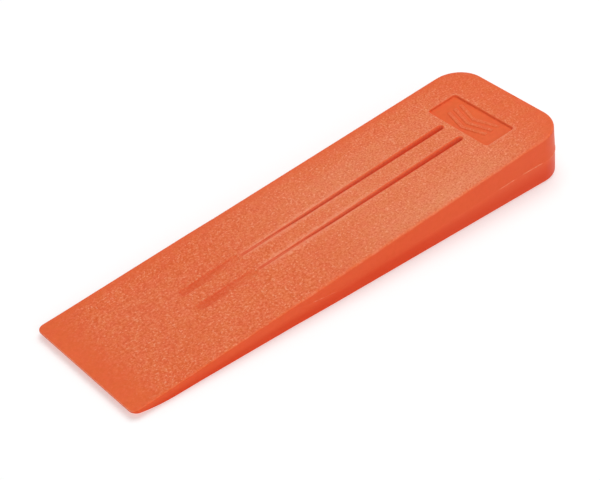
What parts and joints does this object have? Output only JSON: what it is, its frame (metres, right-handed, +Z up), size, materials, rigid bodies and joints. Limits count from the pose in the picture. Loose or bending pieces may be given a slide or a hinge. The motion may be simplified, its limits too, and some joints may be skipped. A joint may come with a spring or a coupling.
{
  "type": "felling wedge",
  "caption": "One-piece moulded plastic felling wedge with a blunt upturned tip, long tapering grooves in its driving faces and a shallow pocket near the head",
  "frame": {"origin": "on the plane of the lower driving face, under the middle of the wedge's box", "axes": "+X from the striking face to the tip, +Y across the width, +Z up out of the upper driving face's side"},
  "size_m": [0.2504, 0.0752, 0.0258],
  "materials": {
    "body_plastic": "bright orange, fine moulded grain on the driving faces, smoother sides and grooves"
  },
  "bodies": {
    "root": {"wedge_body": "body_plastic"}
  },
  "joints": []
}
